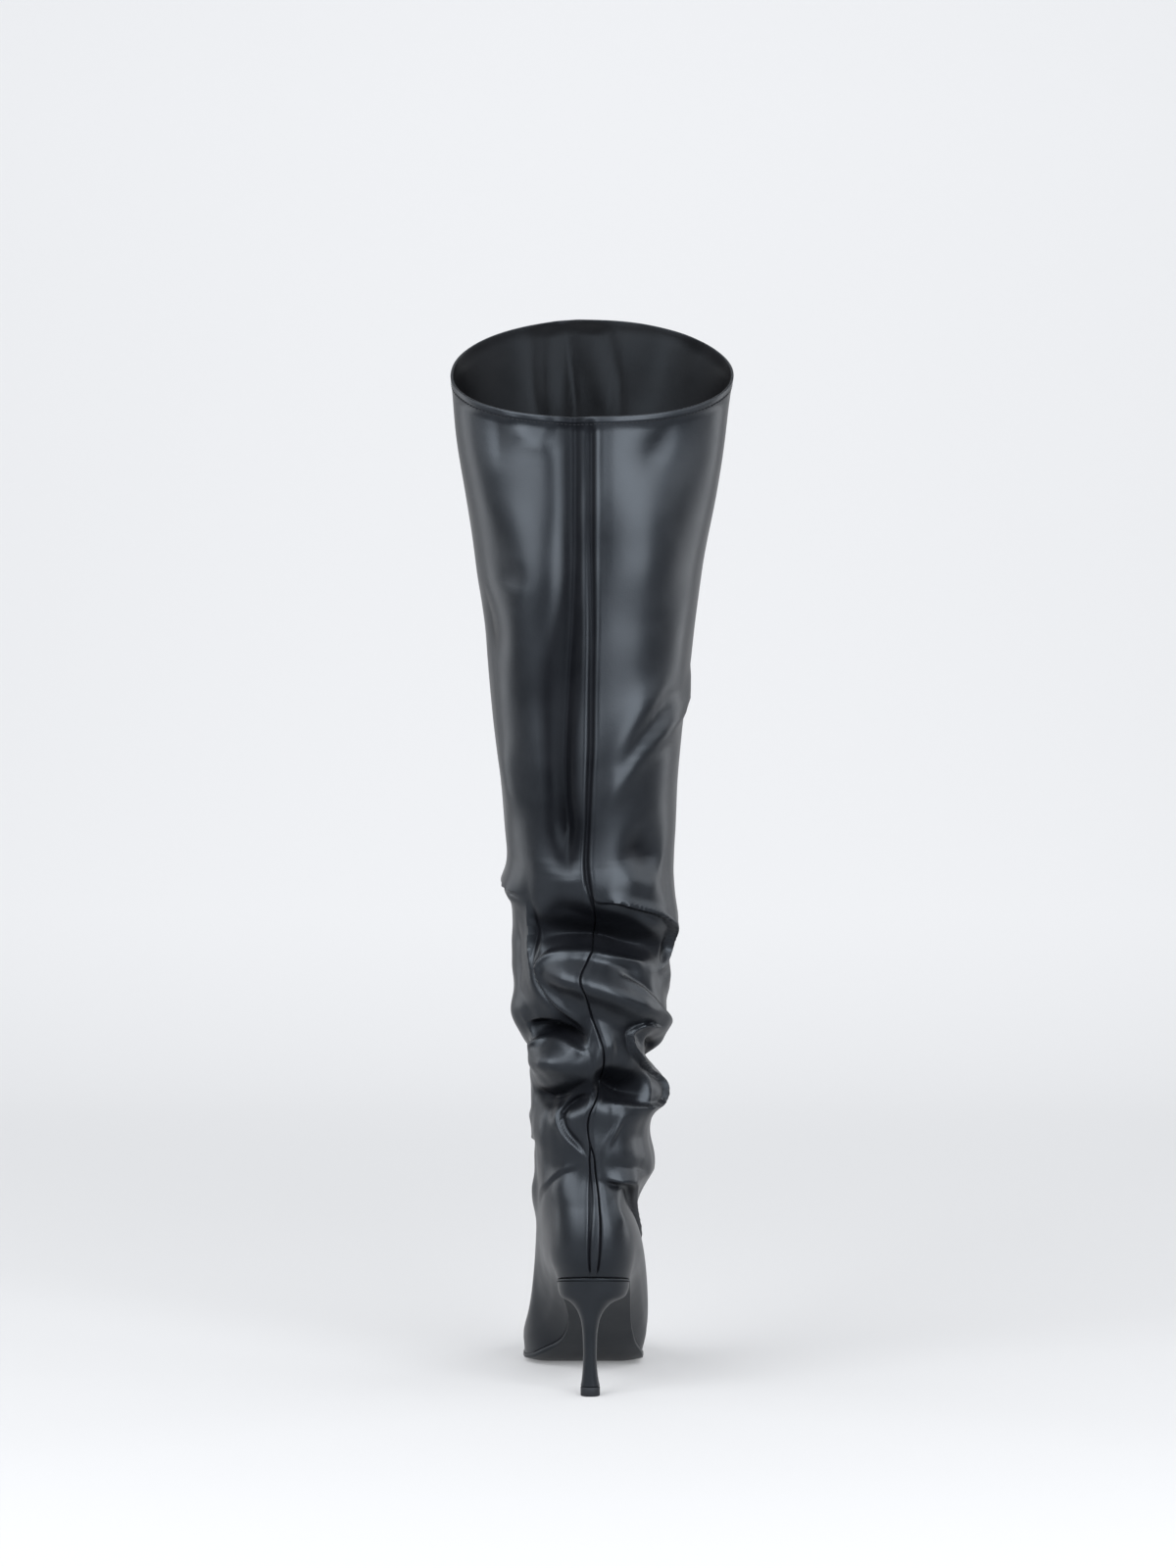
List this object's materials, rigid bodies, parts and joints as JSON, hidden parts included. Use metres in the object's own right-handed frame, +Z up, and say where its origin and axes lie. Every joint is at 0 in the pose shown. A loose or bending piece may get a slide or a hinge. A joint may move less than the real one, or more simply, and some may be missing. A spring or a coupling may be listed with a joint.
{
  "type": "thigh high boot",
  "caption": "Right thigh high boot with a slouched leather shaft, wide open slanted collar, slim covered heel with top piece, thin arched outsole and insole.",
  "frame": {"origin": "middle of the top piece's underside, on the floor under the heel", "axes": "+Y from heel to toe, +X to the outer side of the right foot, +Z up the shaft"},
  "size_m": [0.1963, 0.2579, 0.746],
  "materials": {
    "upper": "smooth black leather, semi-matte",
    "outsole": "black painted leather sole, satin",
    "insole": "matt black lining leather",
    "heel": "heel block covered in thin black leather, semi-gloss",
    "top_piece": "matt black wearing rubber"
  },
  "bodies": {
    "root": {"upper": "upper", "outsole": "outsole", "insole": "insole", "heel": "heel", "top_piece": "top_piece"}
  },
  "joints": []
}
